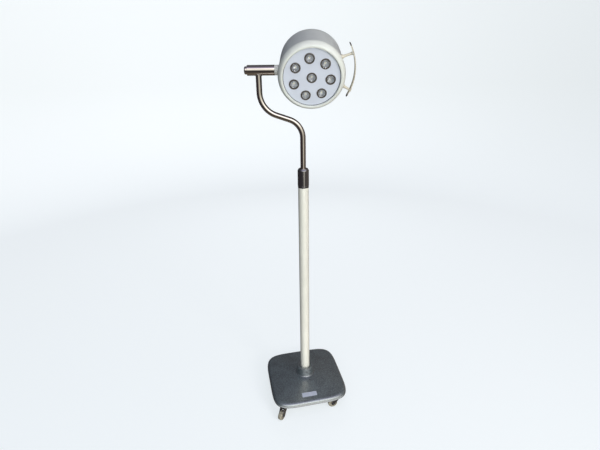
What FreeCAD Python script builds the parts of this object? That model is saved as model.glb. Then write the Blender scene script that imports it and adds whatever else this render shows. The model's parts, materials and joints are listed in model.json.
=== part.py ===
"""Mobile surgical light: castered base, telescopic mast, S-bent arm and a tilting LED drum.

Millimetres, +Z up.  The origin is on the floor, on the axis of the mast.  The base lies square to X and Y,
with its label side facing -Y.  The arm and the drum stand turned by ARM_YAW about the mast at rest.
"""
import math
import os

import FreeCAD
import Part

V = FreeCAD.Vector
X_AXIS = V(1, 0, 0)
Y_AXIS = V(0, 1, 0)
Z_AXIS = V(0, 0, 1)

# --- Base -------------------------------------------------------------------------------------------
BASE_HALF = 205.4
BASE_SQUARENESS = 5.2
RIM_BOTTOM = 71.0
RIM_TOP = 96.0
RIM_ROUND = 20.0
COVER_WALL = 2.5
DOME_TOP = 116.0
DOME_HOLE_R = 48.0
PLATE_HALF = 202.0
PLATE_Z = (73.0, 77.0)
COVER_POSTS = ((-100, 172), (100, 172), (-100, -172), (100, -172))
BALLAST_X = (64.0, 144.0)
BALLAST_Y = (-118.0, 108.0)
BALLAST_THICK = 18.0
BALLAST_BOLT_Y = (-80.0, 70.0)
LABEL_SIZE = (80.0, 25.0)
LABEL_CENTRE = (-11.0, -157.5)
ENTRY_X = (-62.0, 22.0)
ENTRY_Y = (146.0, 186.0)
ENTRY_LOW = 43.0
ENTRY_EAR_Y = 166.0
INLET_CENTRE = (-36.0, 57.0)
INLET_EDGE_X = -16.0
INLET_DEPTH = 18.0
SWITCH_CENTRE = (4.0, 57.0)
SWITCH_TILT = 8.0
SUPPLY_X = (-50.0, 50.0)
SUPPLY_Y = (74.0, 128.0)

# --- Mast -------------------------------------------------------------------------------------------
MAST_R = 25.0
MAST_WALL = 2.0
MAST_FOOT = 84.0
MAST_TOP = 1214.0
SOCKET_R = 46.0
SOCKET_TOP = 166.2
SOCKET_SCREW_R = 54.0
SET_SCREW_Z = 147.0
SET_SCREW_ANGLES = (-90, 30, 150)
COLLAR_R = 26.3
COLLAR_Z = (1216.4, 1295.0, 1304.0)
NECK_R = 20.0

# --- Casters ----------------------------------------------------------------------------------------
WHEEL_R = 25.0
WHEEL_WIDTH = 20.0
CASTER_OFFSET = 32.0
CASTERS = {
    "fl": (-148.0, -168.0, 226.0),
    "fr": (148.0, -168.0, 179.0),
    "bl": (-148.0, 168.0, 215.0),
    "br": (148.0, 168.0, 200.0),
}

# --- Arm, in a plane turned by ARM_YAW ----------------------------------------------------------------
ARM_YAW = -12.2
TUBE_R = 12.5
TUBE_WALL = 2.0
TUBE_FOOT = 806.0
BEND_START = 1442.0
BEND_LOW_R = 85.0
BEND_HIGH_R = 100.0
BEND_SLOPE = 18.5
ARM_OFFSET = 184.5
PISTON_Z = (800.0, 830.0)
RUNNING = 0.06

# --- Pivot, its axis along the arm plane's X ---------------------------------------------------------------
PIVOT_Z = 1725.0
SLEEVE_R = 21.0
SLEEVE_BORE = 17.0
SLEEVE_X = (-231.5, -116.1)
CAP_X = -244.5
CAP_R = 16.0
SHAFT_R = 10.0
BOSS_R = 20.6
SHAFT_X = (-221.0, -70.0)
HEAD_X = 37.8
HEAD_TILT = 21.06
PIVOT_BACK = 86.9

# --- Drum, in its own frame: +Z along the beam, zero at the lamp plane --------------------------------------
RIM_FRONT = 8.0
SEAM_FRONT = -21.0
SEAM_BACK = -150.0
DRUM_BACK = -180.0
PLATE_R = 124.5
RIM_OPENING = 117.5
LAMP_RING_R = 76.8
LAMP_FIRST = 96.87
LAMP_COUNT = 7
HANDLE_Z = -34.0
HANDLE_WIDTH = 24.0
HANDLE_THICK = 6.0
HANDLE_ARC = ((146.4, 124.4), (176.3, 15.2), (146.1, -94.0))
STRUTS = (((121.9, 69.9), (159.7, 82.4)), ((132.3, -49.4), (163.2, -67.0)))


# --- Shape helpers ------------------------------------------------------------------------------------
def cyl(radius, low, high, x=0.0, y=0.0):
    return Part.makeCylinder(radius, high - low, V(x, y, low))


def ring(outer, inner, low, high, x=0.0, y=0.0):
    return cyl(outer, low, high, x, y).cut(cyl(inner, low - 1, high + 1, x, y))


def cone(low_r, high_r, low, high, x=0.0, y=0.0):
    return Part.makeCone(low_r, high_r, high - low, V(x, y, low))


def block(xs, ys, zs):
    return Part.makeBox(xs[1] - xs[0], ys[1] - ys[0], zs[1] - zs[0], V(xs[0], ys[0], zs[0]))


def upright_edges(shape):
    return [e for e in shape.Edges if abs(e.Vertexes[0].Z - e.Vertexes[1].Z) > 0.5]


def hexagon(across, low, high, x=0.0, y=0.0):
    corner = across / math.sqrt(3)
    points = [V(x + corner * math.cos(k * math.pi / 3), y + corner * math.sin(k * math.pi / 3), low)
              for k in range(7)]
    return Part.Face(Part.makePolygon(points)).extrude(V(0, 0, high - low))


def turned(profile):
    """Solid of revolution about Z from (radius, height) points."""
    points = [V(r, 0, z) for r, z in profile]
    return Part.Face(Part.makePolygon(points + points[:1])).revolve(V(0, 0, 0), Z_AXIS, 360)


def join(shapes):
    return Part.makeCompound(list(shapes))


def fused(shapes):
    return shapes[0].multiFuse(shapes[1:]).removeSplitter()


def posed(shape, placement):
    out = shape.copy()
    out.Placement = placement.multiply(out.Placement)
    return out


def spun(shape, angle):
    return posed(shape, FreeCAD.Placement(V(0, 0, 0), FreeCAD.Rotation(Z_AXIS, angle)))


def along_x(shape):
    """Turns a shape built along +Z so that its axis runs along +X."""
    return posed(shape, FreeCAD.Placement(V(0, 0, 0), FreeCAD.Rotation(Y_AXIS, 90)))


def outline(half, squareness, height):
    """Closed rounded-square curve |x|^n + |y|^n = half^n at one height."""
    points = []
    for k in range(48):
        a = 2 * math.pi * k / 48
        c, s = math.cos(a), math.sin(a)
        reach = half / (abs(c) ** squareness + abs(s) ** squareness) ** (1 / squareness)
        points.append(V(reach * c, reach * s, height))
    curve = Part.BSplineCurve()
    curve.interpolate(Points=points, PeriodicFlag=True)
    return Part.Wire([curve.toShape()])


def to_arm(shape):
    return spun(shape, ARM_YAW)


def to_pivot(shape):
    """From a frame along the pivot axis, zero over the mast, to the row frame."""
    return to_arm(posed(shape, FreeCAD.Placement(V(0, 0, PIVOT_Z), FreeCAD.Rotation())))


def to_head(shape):
    """From the drum's own frame to the row frame."""
    lean = FreeCAD.Rotation(X_AXIS, 90 + HEAD_TILT)
    shift = FreeCAD.Placement(V(0, 0, PIVOT_BACK), FreeCAD.Rotation())
    place = FreeCAD.Placement(V(HEAD_X, 0, PIVOT_Z), lean)
    return to_arm(posed(shape, place.multiply(shift)))


# --- Base parts ----------------------------------------------------------------------------------------
def dome_solid(inset, low):
    """The cover's outer form, or with an inset the room inside it."""
    half = BASE_HALF - inset
    bend = RIM_ROUND - inset
    rim = [(half, BASE_SQUARENESS, low)]
    for degrees in (0, 15, 30, 45, 60, 75, 88):
        a = math.radians(degrees)
        height = RIM_TOP - RIM_ROUND + bend * math.sin(a)
        rim.append((half - bend * (1 - math.cos(a)), BASE_SQUARENESS, height))
    top = [
        rim[-1],
        (BASE_HALF - 60.0, 4.0, 102.5 - inset),
        (BASE_HALF - 110.0, 3.0, 109.5 - inset),
        (60.0, 2.2, DOME_TOP - inset),
    ]
    lofts = [Part.makeLoft([outline(*level) for level in levels], True, True) for levels in (rim, top)]
    return fused(lofts)


def base_cover():
    outer = dome_solid(0.0, RIM_BOTTOM)
    inner = dome_solid(COVER_WALL, RIM_BOTTOM - 1.0)
    cover = outer.cut(inner)
    for x, y in COVER_POSTS:
        cover = cover.fuse(ring(6.0, 1.9, PLATE_Z[1] + 0.2, 97.5, x, y))
    return cover.cut(cyl(DOME_HOLE_R, 90, 130))


def base_plate():
    sheet = Part.Face(outline(PLATE_HALF, BASE_SQUARENESS, PLATE_Z[0]))
    plate = sheet.extrude(V(0, 0, PLATE_Z[1] - PLATE_Z[0]))
    cuts = [cyl(12.0, 60, 90)]
    for k in range(4):
        a = math.radians(45 + 90 * k)
        cuts.append(cyl(4.2, 60, 90, SOCKET_SCREW_R * math.cos(a), SOCKET_SCREW_R * math.sin(a)))
    for x, y, _ in CASTERS.values():
        cuts.append(cyl(5.1, 60, 90, x, y))
    for x, y in COVER_POSTS:
        cuts.append(cyl(2.2, 60, 90, x, y))
    for x, y in ballast_bolt_places():
        cuts.append(cyl(4.2, 60, 90, x, y))
    for x, y in supply_screw_places():
        cuts.append(cyl(1.7, 60, 90, x, y))
    for x, y in entry_screw_places():
        cuts.append(cyl(1.7, 60, 90, x, y))
    cuts.append(cyl(7.0, 60, 90, sum(ENTRY_X) / 2, ENTRY_Y[0] + 11))
    return plate.cut(join(cuts))


def ballast_bolt_places():
    middle = sum(BALLAST_X) / 2
    return [(side * middle, y) for side in (-1, 1) for y in BALLAST_BOLT_Y]


def entry_screw_places():
    return [(ENTRY_X[0] - 5.0, ENTRY_EAR_Y), (ENTRY_X[1] + 5.0, ENTRY_EAR_Y)]


def supply_screw_places():
    middle = sum(SUPPLY_Y) / 2
    return [(SUPPLY_X[0] - 4.0, middle), (SUPPLY_X[1] + 4.0, middle)]


def ballast():
    low = PLATE_Z[1]
    bars = []
    for side in (-1, 1):
        xs = sorted((side * BALLAST_X[0], side * BALLAST_X[1]))
        bar = block(xs, BALLAST_Y, (low, low + BALLAST_THICK))
        bars.append(bar.makeFillet(8.0, upright_edges(bar)))
    holes = [cyl(4.1, low - 1, low + 14, x, y) for x, y in ballast_bolt_places()]
    return join(bars[i].cut(join(holes[2 * i:2 * i + 2])) for i in range(2))


def bolt_up(x, y, shank_r, tip, across, head=4.5, seat=PLATE_Z[0]):
    """Hexagon-headed bolt put in from below."""
    return hexagon(across, seat - head, seat, x, y).fuse(cyl(shank_r, seat, tip, x, y))


def base_bolts():
    """Eight equal bolts: four into the mast socket and four into the ballast bars."""
    socket = [(SOCKET_SCREW_R * math.cos(math.radians(a)), SOCKET_SCREW_R * math.sin(math.radians(a)))
              for a in (45, 135, 225, 315)]
    return join(bolt_up(x, y, 4.0, 83, 13) for x, y in socket + ballast_bolt_places())


def pan_up(x, y, shank_r, tip, head_r, head=2.2, seat=PLATE_Z[0]):
    """Cross-recessed pan-head screw put in from below."""
    screw = cyl(head_r, seat - head, seat, x, y).fuse(cyl(shank_r, seat, tip, x, y))
    slots = [block((x - head_r * 0.6, x + head_r * 0.6), (y - 0.4, y + 0.4), (seat - head, seat - head + 1)),
             block((x - 0.4, x + 0.4), (y - head_r * 0.6, y + head_r * 0.6), (seat - head, seat - head + 1))]
    return screw.cut(join(slots))


def mast_socket():
    body = turned([(0, PLATE_Z[1]), (62, PLATE_Z[1]), (62, 86), (SOCKET_R + 2, 88), (SOCKET_R, 94),
                   (SOCKET_R, SOCKET_TOP - 5), (SOCKET_R - 1.5, SOCKET_TOP - 1.5), (SOCKET_R - 5, SOCKET_TOP),
                   (0, SOCKET_TOP)])
    cuts = [cyl(MAST_R + 0.05, MAST_FOOT, SOCKET_TOP + 1), cyl(12.0, 70, 100)]
    cuts.append(cone(MAST_R, MAST_R + 7, SOCKET_TOP - 7, SOCKET_TOP + 0.01))
    for k in range(4):
        a = math.radians(45 + 90 * k)
        cuts.append(cyl(4.1, 70, 84, SOCKET_SCREW_R * math.cos(a), SOCKET_SCREW_R * math.sin(a)))
    for angle in SET_SCREW_ANGLES:
        cuts.append(set_screw_rod(4.1, 20, 50, angle))
    return body.cut(join(cuts))


def set_screw_rod(radius, inner, outer, angle):
    rod = along_x(cyl(radius, inner, outer))
    lifted = posed(rod, FreeCAD.Placement(V(0, 0, SET_SCREW_Z), FreeCAD.Rotation()))
    return spun(lifted, angle)


def set_screws():
    screws = []
    for angle in SET_SCREW_ANGLES:
        rod = set_screw_rod(4.0, MAST_R + 0.1, SOCKET_R + 0.6, angle)
        key = along_x(hexagon(4.0, SOCKET_R - 4, SOCKET_R + 2))
        key = spun(posed(key, FreeCAD.Placement(V(0, 0, SET_SCREW_Z), FreeCAD.Rotation())), angle)
        screws.append(rod.cut(key))
    return join(screws)


def boss_skirt():
    """Fillet ring that closes the gap between the cover and the mast socket."""
    low = DOME_TOP
    return turned([(SOCKET_R + 0.1, low), (54.5, low), (52.2, low + 0.9), (49.6, low + 2.8), (47.8, low + 5.4),
                   (46.8, low + 9), (SOCKET_R + 0.1, low + 9.5)])


def surface_height(cover, x, y):
    """Height of the cover's outer face over one point."""
    needle = Part.makeLine(V(x, y, 85), V(x, y, 140))
    return max(v.Z for v in cover.common(needle).Vertexes)


def rating_label(cover):
    """Blank plate lying on the slope of the cover."""
    x, y = LABEL_CENTRE
    width, depth = LABEL_SIZE
    plate = block((-width / 2, width / 2), (-depth / 2, depth / 2), (0, 1.0))
    plate = plate.makeFillet(2.0, upright_edges(plate))
    front = surface_height(cover, x, y - depth / 2)
    back = surface_height(cover, x, y + depth / 2)
    lean = math.degrees(math.atan2(back - front, depth))
    place = FreeCAD.Placement(V(x, y, (front + back) / 2 + 0.05), FreeCAD.Rotation(X_AXIS, lean))
    return posed(plate, place).cut(dome_solid(0.0, RIM_BOTTOM))


def entry_block():
    """Outside of the entry module under the base."""
    case = block(ENTRY_X, ENTRY_Y, (ENTRY_LOW, PLATE_Z[0]))
    low_edges = [e for e in case.Edges if all(v.Z < ENTRY_LOW + 1 for v in e.Vertexes)
                 and abs(e.Vertexes[0].Y - e.Vertexes[1].Y) > 1]
    return case.makeFillet(4.0, low_edges)


def inlet_space():
    """Rear corner of the entry module that the appliance inlet fills."""
    face = ENTRY_Y[1]
    return block((ENTRY_X[0], INLET_EDGE_X), (face - INLET_DEPTH, face + 2), (ENTRY_LOW - 1, PLATE_Z[0]))


def power_inlet():
    """Appliance inlet with its socket in the rear face."""
    x, z = INLET_CENTRE
    face = ENTRY_Y[1]
    lip = block((x - 14, x + 14), (face - 1, face + 1), (z - 10, z + 10))
    socket = block((x - 12.2, x + 12.2), (face - 16, face + 2), (z - 8.2, z + 8.2))
    return fused([entry_block().common(inlet_space()), lip]).cut(socket)


def entry_case():
    """Case of the entry module: wiring room, two ears and the rocker's pocket beside the inlet."""
    face = ENTRY_Y[1]
    ears = block((ENTRY_X[0] - 10, ENTRY_X[1] + 10), (ENTRY_EAR_Y - 6, ENTRY_EAR_Y + 6),
                 (PLATE_Z[0] - 4, PLATE_Z[0]))
    x, z = SWITCH_CENTRE
    switch_lip = block((x - 10.9, x + 10.9), (face - 1, face + 1.4), (z - 7.4, z + 7.4))
    pocket = block((x - 8.3, x + 8.3), (face - 8, face + 2), (z - 4.9, z + 4.9))
    pivot = Part.makeCylinder(1.25, 12.4, V(x, face - 2, z - 6.2))
    wiring = block((ENTRY_X[0] + 2.5, ENTRY_X[1] - 2.5), (ENTRY_Y[0] + 2.5, face - INLET_DEPTH),
                   (ENTRY_LOW + 2.5, PLATE_Z[0] + 1))
    holes = [cyl(1.7, 60, 90, px, py) for px, py in entry_screw_places()]
    return fused([entry_block(), ears, switch_lip]).cut(join([inlet_space(), pocket, pivot, wiring] + holes))


def inlet_pins():
    x, z = INLET_CENTRE
    low, high = ENTRY_Y[1] - 16, ENTRY_Y[1] - 5
    return join(block((x + dx - 1, x + dx + 1), (low, high), (z + dz - 2, z + dz + 2))
                for dx, dz in ((-7, -1.5), (7, -1.5), (0, 2.5)))


def small_screws():
    """Four equal screws: two through the entry module's ears and two into the supply's ears."""
    entry = [pan_up(x, y, 1.5, 77.9, 2.9, seat=PLATE_Z[0] - 4) for x, y in entry_screw_places()]
    supply = [pan_up(x, y, 1.5, 81.9, 2.9) for x, y in supply_screw_places()]
    return join(entry + supply)


def switch_rocker():
    """Rocker turned to off, with a pin on its axis that runs in the module's pocket."""
    points = [V(-7.4, 1.2, -4.5), V(0, 0.2, -4.5), V(7.4, 1.2, -4.5), V(7.0, -3.4, -4.5),
              V(0, -5.6, -4.5), V(-7.0, -3.4, -4.5), V(-7.4, 1.2, -4.5)]
    pivot = V(0, -2.0, 0)
    rocker = Part.Face(Part.makePolygon(points)).extrude(V(0, 0, 9.0))
    rocker = rocker.fuse(Part.makeCylinder(1.2, 12.0, pivot - V(0, 0, 6.0)))
    rocker.rotate(pivot, Z_AXIS, -SWITCH_TILT)
    x, z = SWITCH_CENTRE
    return posed(rocker, FreeCAD.Placement(V(x, ENTRY_Y[1], z), FreeCAD.Rotation()))


def power_supply():
    low = PLATE_Z[1]
    case = block(SUPPLY_X, SUPPLY_Y, (low, low + 20))
    case = case.makeFillet(1.5, upright_edges(case))
    middle = sum(SUPPLY_Y) / 2
    ears = block((SUPPLY_X[0] - 8, SUPPLY_X[1] + 8), (middle - 6, middle + 6), (low, low + 5))
    holes = [cyl(1.6, low - 1, low + 6, x, y) for x, y in supply_screw_places()]
    return case.fuse(ears).cut(join(holes))


# --- Caster parts --------------------------------------------------------------------------------------
def caster_stem(x, y):
    stem = cyl(5.0, 73.0, 84.0, x, y).fuse(hexagon(17, 69.0, 73.0, x, y))
    pin = cyl(4.0, 59.0, 69.0, x, y).fuse(cyl(6.5, 57.0, 59.2, x, y))
    return stem.fuse(pin)


def stem_nut(x, y):
    return hexagon(17, PLATE_Z[1], PLATE_Z[1] + 6.5, x, y).cut(cyl(5.05, 70, 90, x, y))


def caster_place(key):
    x, y, heading = CASTERS[key]
    return FreeCAD.Placement(V(x, y, 0), FreeCAD.Rotation(Z_AXIS, heading))


def caster_fork(key):
    """Stamped fork: round head under the stem, two legs, and the riveted axle between them."""
    half = WHEEL_WIDTH / 2
    head = ring(15.0, 4.06, 59.3, 68.7)
    pocket = cyl(11.5, 58, 65.0)
    shoulder = block((-2, CASTER_OFFSET - 5), (-half - 4, half + 4), (59.3, 65.0))
    clearing = cyl(11.5, 58, 65.0).fuse(block((9, 40), (-half - 1.5, half + 1.5), (50, 62.2)))
    legs = []
    for side in (-1, 1):
        ys = sorted((side * (half + 1.5), side * (half + 4)))
        profile = [V(2, ys[0], 65), V(CASTER_OFFSET - 5, ys[0], 65), V(CASTER_OFFSET + 9, ys[0], 30),
                   V(CASTER_OFFSET + 7, ys[0], 18), V(CASTER_OFFSET - 7, ys[0], 18), V(2, ys[0], 50),
                   V(2, ys[0], 65)]
        legs.append(Part.Face(Part.makePolygon(profile)).extrude(V(0, ys[1] - ys[0], 0)))
    body = fused([head.cut(pocket), shoulder.cut(clearing)] + legs)
    bore = cyl(4.06, 50, 75)
    wheel_room = Part.makeCylinder(WHEEL_R + 2, 2 * half + 3, V(CASTER_OFFSET, -half - 1.5, WHEEL_R), Y_AXIS)
    body = body.cut(bore).cut(wheel_room)
    reach = half + 5.8
    axle = [Part.makeCylinder(3.0, 2 * reach, V(CASTER_OFFSET, -reach, WHEEL_R), Y_AXIS)]
    axle += [Part.makeCylinder(5.0, 1.8, V(CASTER_OFFSET, y, WHEEL_R), Y_AXIS) for y in (-reach, half + 4)]
    return posed(fused([body] + axle), caster_place(key))


def wheel_solid(profile, key):
    wheel = turned(profile)
    place = FreeCAD.Placement(V(CASTER_OFFSET, 0, WHEEL_R), FreeCAD.Rotation(X_AXIS, 90))
    return posed(wheel, caster_place(key).multiply(place))


def wheel_core(key):
    half = WHEEL_WIDTH / 2
    return wheel_solid([(3.06, -half - 0.8), (7, -half - 0.8), (7, -half + 2), (16, -half + 2), (16, -half + 1),
                        (19, -half + 1), (19, half - 1), (16, half - 1), (16, half - 2), (7, half - 2),
                        (7, half + 0.8), (3.06, half + 0.8)], key)


def wheel_tread(key):
    half = WHEEL_WIDTH / 2
    return wheel_solid([(19, -half + 1), (22.5, -half), (24.2, -half + 1.5), (WHEEL_R, -half + 4),
                        (WHEEL_R, half - 4), (24.2, half - 1.5), (22.5, half), (19, half - 1)], key)


# --- Mast parts ----------------------------------------------------------------------------------------
def mast_tube():
    return ring(MAST_R, MAST_R - MAST_WALL, MAST_FOOT, MAST_TOP)


def mast_bush():
    """Insert in the mast's mouth: guide below, threaded neck above."""
    bore = TUBE_R + RUNNING
    return turned([(bore, 1150), (MAST_R - MAST_WALL - 0.02, 1150), (MAST_R - MAST_WALL - 0.02, MAST_TOP),
                   (MAST_R, MAST_TOP), (MAST_R, MAST_TOP + 2), (NECK_R, MAST_TOP + 2), (NECK_R, 1262),
                   (bore, 1262)])


def clamp_ring():
    """Split taper ring squeezed on the arm tube."""
    bore = TUBE_R + RUNNING
    body = turned([(bore, 1262), (18.6, 1262), (18.6, 1268), (16.0, 1286), (bore, 1286)])
    return body.cut(block((0, 30), (-1, 1), (1250, 1300)))


def lock_collar():
    low, shoulder, top = COLLAR_Z
    return turned([(NECK_R + 0.3, low), (COLLAR_R - 1, low), (COLLAR_R, low + 1), (COLLAR_R, shoulder),
                   (COLLAR_R - 1.2, shoulder + 3), (COLLAR_R - 4, shoulder + 5.4), (16, top),
                   (TUBE_R + 0.4, top - 0.8), (TUBE_R + 0.4, 1292), (16.6, 1288), (19.2, 1268.5),
                   (NECK_R + 0.3, 1266)])


# --- Arm parts -----------------------------------------------------------------------------------------
def arm_path():
    """Centreline: straight up out of the mast, left along a slope, straight up to the pivot."""
    turn = math.radians(90 - BEND_SLOPE)
    half_turn = turn / 2
    low_end = V(-BEND_LOW_R * (1 - math.cos(turn)), 0, BEND_START + BEND_LOW_R * math.sin(turn))
    low_mid = V(-BEND_LOW_R * (1 - math.cos(half_turn)), 0, BEND_START + BEND_LOW_R * math.sin(half_turn))
    start_x = -ARM_OFFSET + BEND_HIGH_R * (1 - math.cos(turn))
    start_z = low_end.z + (low_end.x - start_x) * math.tan(math.radians(BEND_SLOPE))
    high_start = V(start_x, 0, start_z)
    high_z = start_z + BEND_HIGH_R * math.sin(turn)
    high_mid = V(-ARM_OFFSET + BEND_HIGH_R * (1 - math.cos(half_turn)), 0,
                 high_z - BEND_HIGH_R * math.sin(half_turn))
    high_end = V(-ARM_OFFSET, 0, high_z)
    foot = V(0, 0, TUBE_FOOT)
    bend = V(0, 0, BEND_START)
    return Part.Wire([
        Part.makeLine(foot, bend),
        Part.Arc(bend, low_mid, low_end).toShape(),
        Part.makeLine(low_end, high_start),
        Part.Arc(high_start, high_mid, high_end).toShape(),
        Part.makeLine(high_end, V(-ARM_OFFSET, 0, PIVOT_Z)),
    ])


def swept(radius):
    circle = Part.Wire([Part.Circle(V(0, 0, TUBE_FOOT), Z_AXIS, radius).toShape()])
    return arm_path().makePipeShell([circle], True, False)


def arm_tube():
    tube = swept(TUBE_R).cut(swept(TUBE_R - TUBE_WALL))
    sleeve = posed(along_x(cyl(SLEEVE_R, -300, 0)), FreeCAD.Placement(V(0, 0, PIVOT_Z), FreeCAD.Rotation()))
    return to_arm(tube.cut(sleeve))


def tube_plug():
    """Threaded plug pressed into the foot of the arm tube."""
    return to_arm(ring(TUBE_R - TUBE_WALL, 5.05, TUBE_FOOT, TUBE_FOOT + 22))


def guide_piston():
    body = turned([(5.3, PISTON_Z[0]), (21, PISTON_Z[0]), (MAST_R - MAST_WALL - 0.08, PISTON_Z[0] + 2),
                   (MAST_R - MAST_WALL - 0.08, PISTON_Z[1] - 2), (21, PISTON_Z[1]),
                   (TUBE_R + RUNNING, PISTON_Z[1]), (TUBE_R + RUNNING, TUBE_FOOT - 0.3),
                   (5.3, TUBE_FOOT - 0.3)])
    return body


def piston_bolt():
    low = PISTON_Z[0] - 0.3
    return to_arm(hexagon(16, low - 6, low).fuse(cyl(5.0, low, TUBE_FOOT + 18)))


# --- Pivot parts ---------------------------------------------------------------------------------------
def pivot_sleeve():
    return to_pivot(along_x(ring(SLEEVE_R, SLEEVE_BORE, *SLEEVE_X)))


def pivot_cap():
    """Domed plug in the open end of the sleeve."""
    left = SLEEVE_X[0]
    cap = turned([(0, CAP_X), (7, CAP_X + 0.4), (11.5, CAP_X + 1.8), (14.6, CAP_X + 4.4), (CAP_R, CAP_X + 8.2),
                  (CAP_R, left), (SLEEVE_BORE - 0.05, left + 0.6), (SLEEVE_BORE - 0.05, left + 7), (0, left + 7)])
    return to_pivot(along_x(cap))


def pivot_bushes():
    left = ring(SLEEVE_BORE - 0.05, SHAFT_R + RUNNING, -205, -189)
    right = ring(SLEEVE_BORE - 0.05, SHAFT_R + RUNNING, -134, SLEEVE_X[1] - 0.2)
    return to_pivot(along_x(join([left, right])))


def pivot_shaft():
    return to_pivot(along_x(ring(SHAFT_R, 3.5, *SHAFT_X)))


def disc_springs():
    discs = []
    for k in range(2):
        base = -208.3 + 1.4 * k
        discs.append(turned([(SHAFT_R + 0.2, base), (15.5, base + 0.3), (15.5, base + 1.5),
                             (SHAFT_R + 0.2, base + 1.2)]))
    return to_pivot(along_x(join(discs)))


def pivot_nuts():
    """Two equal nuts: one on the disc springs, one on the saddle inside the drum."""
    saddle = HEAD_X - 121.0
    nuts = [hexagon(26, low, low + 8.5).cut(cyl(SHAFT_R + 0.05, low - 1, low + 10)) for low in (-217.0, saddle)]
    return to_pivot(along_x(join(nuts)))


# --- Drum parts ----------------------------------------------------------------------------------------
def drum_outer(low, high):
    """The drum's slightly tapered outside between two depths."""
    front_r, back_r = 137.9, 133.6

    def radius(z):
        return front_r + (back_r - front_r) * (z - SEAM_FRONT) / (DRUM_BACK - SEAM_FRONT)

    return cone(radius(low), radius(high), low, high)


def pivot_rod(radius, start, end):
    """Cylinder on the pivot axis, in the drum's frame."""
    return Part.makeCylinder(radius, end - start, V(start, 0, -PIVOT_BACK), X_AXIS)


def lamp_places():
    places = [(0.0, 0.0)]
    for k in range(LAMP_COUNT):
        a = math.radians(LAMP_FIRST - 360.0 * k / LAMP_COUNT)
        places.append((LAMP_RING_R * math.cos(a), LAMP_RING_R * math.sin(a)))
    return places


def at_lamps(make):
    return join(make(x, y) for x, y in lamp_places())


def bezel_ring():
    return turned([(RIM_OPENING, 6.0), (RIM_OPENING + 1.2, RIM_FRONT - 0.5), (RIM_OPENING + 3, RIM_FRONT),
                   (125.0, RIM_FRONT), (127.6, RIM_FRONT - 1), (128.8, RIM_FRONT - 3.2), (138.7, SEAM_FRONT),
                   (136.0, SEAM_FRONT), (125.8, 4.0), (RIM_OPENING + 2.5, 4.0), (RIM_OPENING + 2.5, -1.0),
                   (RIM_OPENING, -1.0)])


def front_plate():
    """Lamp panel with a shadow groove beside the rim."""
    plate = cyl(PLATE_R, -4.3, -1.0).cut(ring(RIM_OPENING, RIM_OPENING - 2.2, -3.0, 0))
    return plate.cut(at_lamps(lambda x, y: cyl(20.2, -6, 0, x, y)))


def lens_rings():
    def one(x, y):
        cup = turned([(16.0, -1.4), (16.5, 0.2), (17.8, 1.4), (20.2, 1.4), (21.2, 0.4), (21.2, -1.0), (20.0, -1.0),
                      (20.0, -14.0), (18.6, -14.0), (18.6, -1.4)])
        return posed(cup, FreeCAD.Placement(V(x, y, 0), FreeCAD.Rotation()))

    return at_lamps(one)


def lenses():
    def one(x, y):
        lens = turned([(0, -7.0), (4.0, -7.6), (4.6, -10.6), (8.0, -10.6), (18.4, -4.2), (18.4, -1.6), (15.6, -1.6),
                       (12.5, -0.6), (7.5, 0.5), (0, 0.9)])
        return posed(lens, FreeCAD.Placement(V(x, y, 0), FreeCAD.Rotation()))

    return at_lamps(one)


def led_boards():
    return at_lamps(lambda x, y: hexagon(18, -14.0, -12.4, x, y))


def led_chips():
    def one(x, y):
        base = block((x - 1.7, x + 1.7), (y - 1.7, y + 1.7), (-12.4, -11.6))
        dome = cyl(1.4, -11.6, -11.0, x, y)
        return base.fuse(dome)

    return at_lamps(one)


def heatsink():
    body = turned([(0, -22), (122, -22), (122, -4.3), (119, -4.3), (119, -14), (0, -14)])
    fins = join(block((-110, 110), (y - 1.2, y + 1.2), (-46, -21.5)) for y in range(-98, 99, 14))
    finned = body.fuse(fins.common(cyl(108.0, -46, -21.5)))
    return finned.cut(join(cyl(2.1, -30, 0, x, y) for x, y in sink_screw_places()))


def sink_screw_places():
    return [(115.0 * math.cos(math.radians(a)), 115.0 * math.sin(math.radians(a))) for a in (20, 110, 200, 290)]


def sink_screws():
    return join(cyl(2.0, -24.9, -14, x, y).fuse(cyl(3.5, -14, -11.6, x, y)) for x, y in sink_screw_places())


def rear_posts():
    return [(126.5 * math.cos(math.radians(a)), 126.5 * math.sin(math.radians(a))) for a in (45, 135, 225, 315)]


def head_housing():
    shell = drum_outer(SEAM_BACK, SEAM_FRONT - 0.3).cut(turned([
        (0, SEAM_BACK - 1), (131.9, SEAM_BACK - 1), (135.3, SEAM_FRONT + 1), (0, SEAM_FRONT + 1)]))
    shelf = ring(135.6, 110.0, -25.0, -22.0)
    spigot = ring(133.4, 130.8, -22.5, -17.0)
    posts = [cyl(6.0, -146, -118, x, y) for x, y in rear_posts()]
    room = drum_outer(SEAM_BACK, SEAM_FRONT - 0.3)
    body = fused([shell, shelf, spigot] + [post.common(room) for post in posts])
    cuts = [pivot_rod(SHAFT_R + 0.1, -150, -120)]
    cuts += [cyl(2.1, -26, -20, x, y) for x, y in sink_screw_places()]
    cuts += [cyl(2.05, -150, -125, x, y) for x, y in rear_posts()]
    for foot, tip in STRUTS:
        a = math.atan2(foot[1], foot[0])
        cuts.append(Part.makeCylinder(2.6, 30, V(120 * math.cos(a), 120 * math.sin(a), HANDLE_Z),
                                      V(math.cos(a), math.sin(a), 0)))
    return body.cut(join(cuts))


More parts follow.
